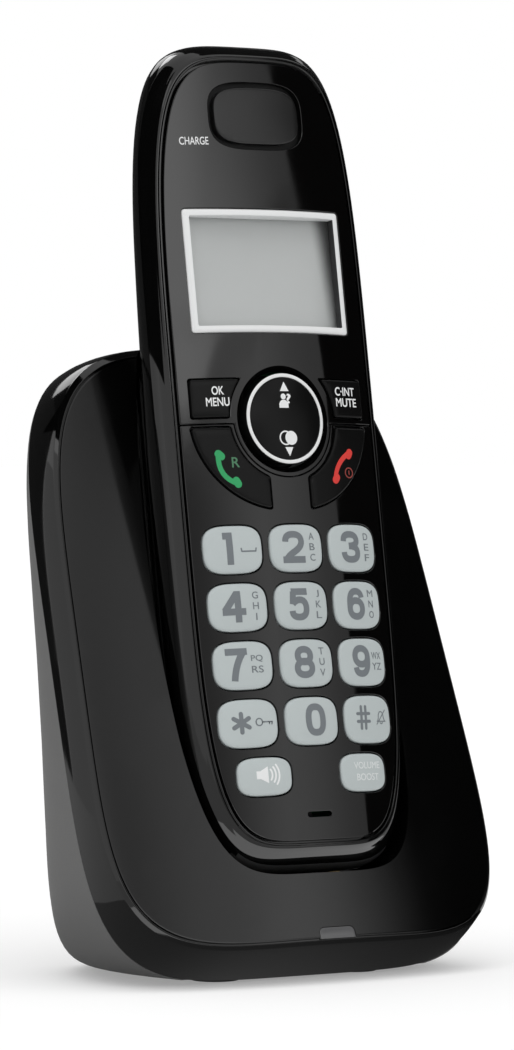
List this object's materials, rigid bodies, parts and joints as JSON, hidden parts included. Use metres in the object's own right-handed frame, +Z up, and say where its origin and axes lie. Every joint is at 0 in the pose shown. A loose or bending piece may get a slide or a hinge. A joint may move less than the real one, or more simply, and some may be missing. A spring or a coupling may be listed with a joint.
{
  "type": "cordless phone",
  "caption": "Cordless telephone handset with a keypad and display, standing in a leaning charging base that it lifts out of.",
  "frame": {"origin": "middle of the bounding box in plan, on the surface that the feet stand on", "axes": "+X to the right as seen from the keypad side, +Y towards the back of the base, +Z up"},
  "size_m": [0.0898, 0.0572, 0.1794],
  "materials": {
    "black_gloss_plastic": "polished, piano black",
    "grey_matt_plastic": "fine spark texture",
    "dark_plastic": "plain moulded",
    "key_plastic": "satin, slightly translucent",
    "black_key_plastic": "satin",
    "white_plastic": "satin white",
    "clear_window": "clear",
    "display_cell": "grey liquid crystal",
    "smoked_lens": "smoked, translucent",
    "red_diode": "tinted, clear",
    "rubber": "matt",
    "grey_silicone": "matt",
    "board_green": "solder mask",
    "gold_contact": "plated",
    "bright_steel": "plain",
    "cell_wrap": "shrink sleeve"
  },
  "bodies": {
    "base": {"base_front_shell": "black_gloss_plastic", "base_rear_shell": "grey_matt_plastic", "base_feet": "rubber", "base_screws": "bright_steel", "base_circuit_board": "board_green", "base_charge_contacts": "gold_contact", "lamp_lens": "smoked_lens", "lamp_diode": "red_diode", "line_jack": "dark_plastic", "power_jack": "dark_plastic", "page_switch": "dark_plastic"},
    "handset": {"handset_front_shell": "black_gloss_plastic", "display_plate": "black_gloss_plastic", "keypad_plate": "black_gloss_plastic", "display_frame": "white_plastic", "display_window": "clear_window", "display_panel": "display_cell", "display_backlight": "white_plastic", "earpiece_insert": "black_gloss_plastic", "earpiece_speaker": "bright_steel", "loudspeaker": "bright_steel", "microphone": "bright_steel", "keypad_mat": "grey_silicone", "handset_circuit_board": "board_green", "handset_rear_shell": "black_gloss_plastic", "battery_cells": "cell_wrap", "battery_contacts": "gold_contact", "handset_charge_pads": "gold_contact", "handset_screws": "bright_steel"},
    "nav_rocker": {"nav_key": "black_key_plastic", "nav_ring": "white_plastic"},
    "menu_key": {"menu_key": "black_key_plastic"},
    "clear_key": {"clear_key": "black_key_plastic"},
    "talk_key": {"talk_key": "black_key_plastic"},
    "end_key": {"end_key": "black_key_plastic"},
    "key_1": {"key_1": "key_plastic"},
    "key_2": {"key_2": "key_plastic"},
    "key_3": {"key_3": "key_plastic"},
    "key_4": {"key_4": "key_plastic"},
    "key_5": {"key_5": "key_plastic"},
    "key_6": {"key_6": "key_plastic"},
    "key_7": {"key_7": "key_plastic"},
    "key_8": {"key_8": "key_plastic"},
    "key_9": {"key_9": "key_plastic"},
    "key_star": {"key_star": "key_plastic"},
    "key_0": {"key_0": "key_plastic"},
    "key_hash": {"key_hash": "key_plastic"},
    "speaker_key": {"speaker_key": "key_plastic"},
    "volume_key": {"volume_key": "key_plastic"},
    "battery_door": {"battery_door": "black_gloss_plastic"},
    "page_button": {"page_button": "grey_matt_plastic"}
  },
  "joints": [
    {"name": "handset_lift", "type": "slide", "parent": "base", "child": "handset", "axis": [0, 0.1607, 0.987], "range_m": [0, 0.12]},
    {"name": "nav_rock", "type": "hinge", "parent": "handset", "child": "nav_rocker", "pos_m": [0, -0.00372, 0.10592], "axis": [1, 0, 0], "range_deg": [-3, 3], "stiffness_Nm_per_rad": 0.1},
    {"name": "menu_press", "type": "slide", "parent": "handset", "child": "menu_key", "axis": [0, 0.987, -0.1607], "range_m": [0, 0.0006], "stiffness_N_per_m": 400},
    {"name": "clear_press", "type": "slide", "parent": "handset", "child": "clear_key", "axis": [0, 0.987, -0.1607], "range_m": [0, 0.0006], "stiffness_N_per_m": 400},
    {"name": "talk_press", "type": "slide", "parent": "handset", "child": "talk_key", "axis": [0, 0.987, -0.1607], "range_m": [0, 0.0006], "stiffness_N_per_m": 400},
    {"name": "end_press", "type": "slide", "parent": "handset", "child": "end_key", "axis": [0, 0.987, -0.1607], "range_m": [0, 0.0006], "stiffness_N_per_m": 400},
    {"name": "key_1_press", "type": "slide", "parent": "handset", "child": "key_1", "axis": [0, 0.987, -0.1607], "range_m": [0, 0.0006], "stiffness_N_per_m": 400},
    {"name": "key_2_press", "type": "slide", "parent": "handset", "child": "key_2", "axis": [0, 0.987, -0.1607], "range_m": [0, 0.0006], "stiffness_N_per_m": 400},
    {"name": "key_3_press", "type": "slide", "parent": "handset", "child": "key_3", "axis": [0, 0.987, -0.1607], "range_m": [0, 0.0006], "stiffness_N_per_m": 400},
    {"name": "key_4_press", "type": "slide", "parent": "handset", "child": "key_4", "axis": [0, 0.987, -0.1607], "range_m": [0, 0.0006], "stiffness_N_per_m": 400},
    {"name": "key_5_press", "type": "slide", "parent": "handset", "child": "key_5", "axis": [0, 0.987, -0.1607], "range_m": [0, 0.0006], "stiffness_N_per_m": 400},
    {"name": "key_6_press", "type": "slide", "parent": "handset", "child": "key_6", "axis": [0, 0.987, -0.1607], "range_m": [0, 0.0006], "stiffness_N_per_m": 400},
    {"name": "key_7_press", "type": "slide", "parent": "handset", "child": "key_7", "axis": [0, 0.987, -0.1607], "range_m": [0, 0.0006], "stiffness_N_per_m": 400},
    {"name": "key_8_press", "type": "slide", "parent": "handset", "child": "key_8", "axis": [0, 0.987, -0.1607], "range_m": [0, 0.0006], "stiffness_N_per_m": 400},
    {"name": "key_9_press", "type": "slide", "parent": "handset", "child": "key_9", "axis": [0, 0.987, -0.1607], "range_m": [0, 0.0006], "stiffness_N_per_m": 400},
    {"name": "key_star_press", "type": "slide", "parent": "handset", "child": "key_star", "axis": [0, 0.987, -0.1607], "range_m": [0, 0.0006], "stiffness_N_per_m": 400},
    {"name": "key_0_press", "type": "slide", "parent": "handset", "child": "key_0", "axis": [0, 0.987, -0.1607], "range_m": [0, 0.0006], "stiffness_N_per_m": 400},
    {"name": "key_hash_press", "type": "slide", "parent": "handset", "child": "key_hash", "axis": [0, 0.987, -0.1607], "range_m": [0, 0.0006], "stiffness_N_per_m": 400},
    {"name": "speaker_press", "type": "slide", "parent": "handset", "child": "speaker_key", "axis": [0, 0.987, -0.1607], "range_m": [0, 0.0006], "stiffness_N_per_m": 400},
    {"name": "volume_press", "type": "slide", "parent": "handset", "child": "volume_key", "axis": [0, 0.987, -0.1607], "range_m": [0, 0.0006], "stiffness_N_per_m": 400},
    {"name": "battery_door_slide", "type": "slide", "parent": "handset", "child": "battery_door", "axis": [0, -0.1607, -0.987], "range_m": [0, 0.004]},
    {"name": "page_press", "type": "slide", "parent": "base", "child": "page_button", "axis": [0, -1, 0], "range_m": [0, 0.001], "stiffness_N_per_m": 300}
  ]
}
